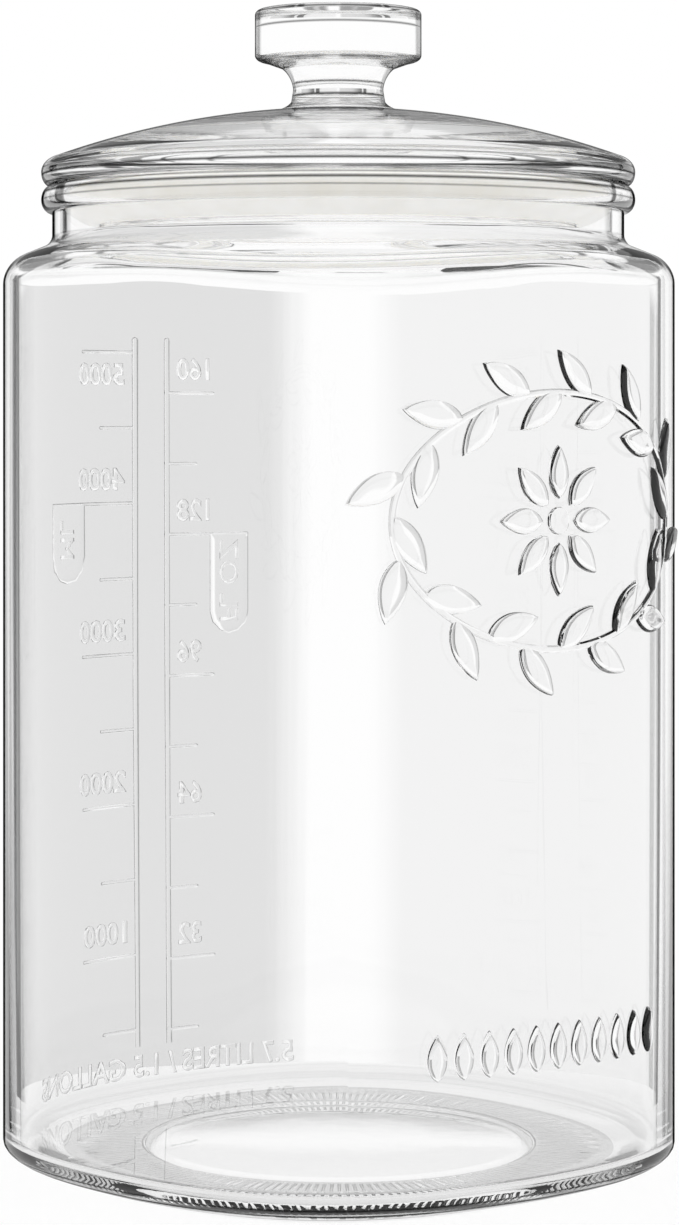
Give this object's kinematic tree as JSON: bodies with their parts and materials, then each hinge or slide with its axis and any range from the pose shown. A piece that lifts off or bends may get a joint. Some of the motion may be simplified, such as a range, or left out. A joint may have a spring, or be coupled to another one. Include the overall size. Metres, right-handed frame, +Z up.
{
  "type": "glass storage jar",
  "caption": "Rounded-square clear glass storage jar with a round neck, a raised measuring scale and a domed lift-off glass lid with a knob and a silicone seal ring.",
  "frame": {"origin": "centre of the resting ring, on the surface the jar stands on", "axes": "+Z up along the jar's axis; the ornament panel faces -Y and the measuring scale is on the panel facing +Y"},
  "size_m": [0.172, 0.1727, 0.3162],
  "materials": {
    "jar_glass": "clear polished",
    "lid_glass": "clear pressed",
    "silicone": "satin translucent"
  },
  "bodies": {
    "jar": {"jar_body": "jar_glass"},
    "seal": {"seal_ring": "silicone"},
    "lid": {"lid": "lid_glass"}
  },
  "joints": [
    {"name": "lid_lift", "type": "slide", "parent": "jar", "child": "seal", "axis": [0, 0, 1], "range_m": [0, 0.16]},
    {"name": "lid_turn", "type": "hinge", "parent": "seal", "child": "lid", "pos_m": [0, 0, 0.2679], "axis": [0, 0, 1], "continuous": true}
  ]
}
